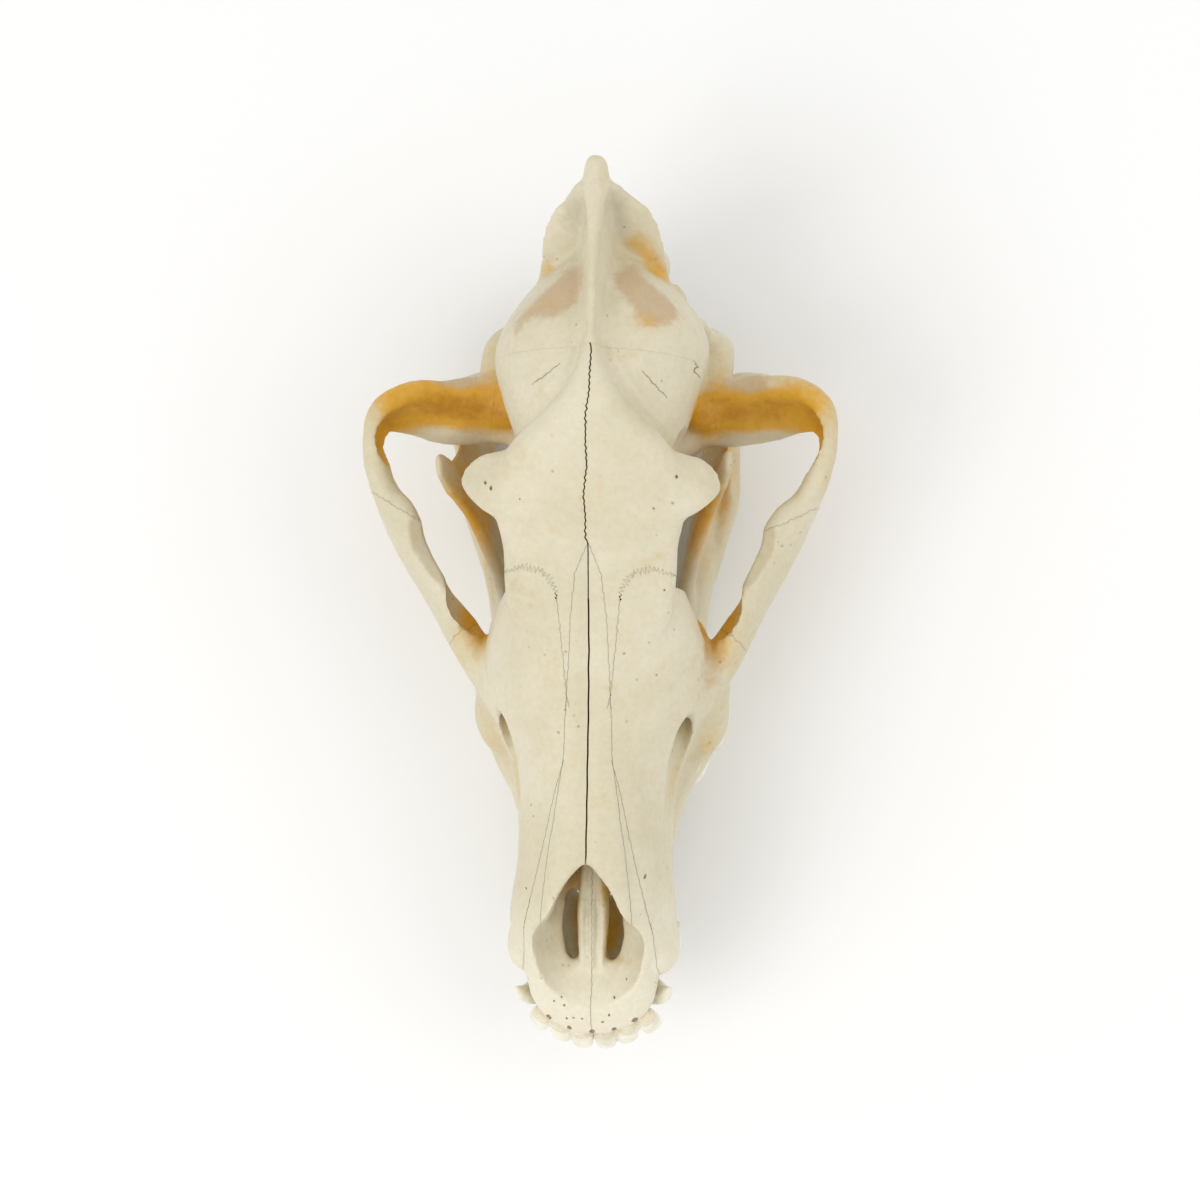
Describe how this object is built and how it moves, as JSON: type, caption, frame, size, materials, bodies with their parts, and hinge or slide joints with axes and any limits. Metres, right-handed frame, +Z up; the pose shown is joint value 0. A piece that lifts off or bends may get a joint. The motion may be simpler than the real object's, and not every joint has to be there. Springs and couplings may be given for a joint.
{
  "type": "wolf skull",
  "caption": "Life-size wolf skull with its lower jaw in place, resting on the jaw's underside, bones parted along their sutures.",
  "frame": {"origin": "centre of the bounding box in plan, on the surface that the lower jaw rests on", "axes": "-Y towards the nose, +Y towards the back of the head, +X towards the animal's left, +Z up"},
  "size_m": [0.1437, 0.2678, 0.1183],
  "materials": {
    "bone": "dry ivory-coloured bone, satin"
  },
  "bodies": {
    "root": {"braincase": "bone", "frontal_left": "bone", "frontal_right": "bone", "nasal_left": "bone", "nasal_right": "bone", "maxilla_left": "bone", "maxilla_right": "bone", "premaxilla_left": "bone", "premaxilla_right": "bone", "zygomatic_left": "bone", "zygomatic_right": "bone", "temporal_left": "bone", "temporal_right": "bone", "mandible_left": "bone", "mandible_right": "bone"}
  },
  "joints": []
}
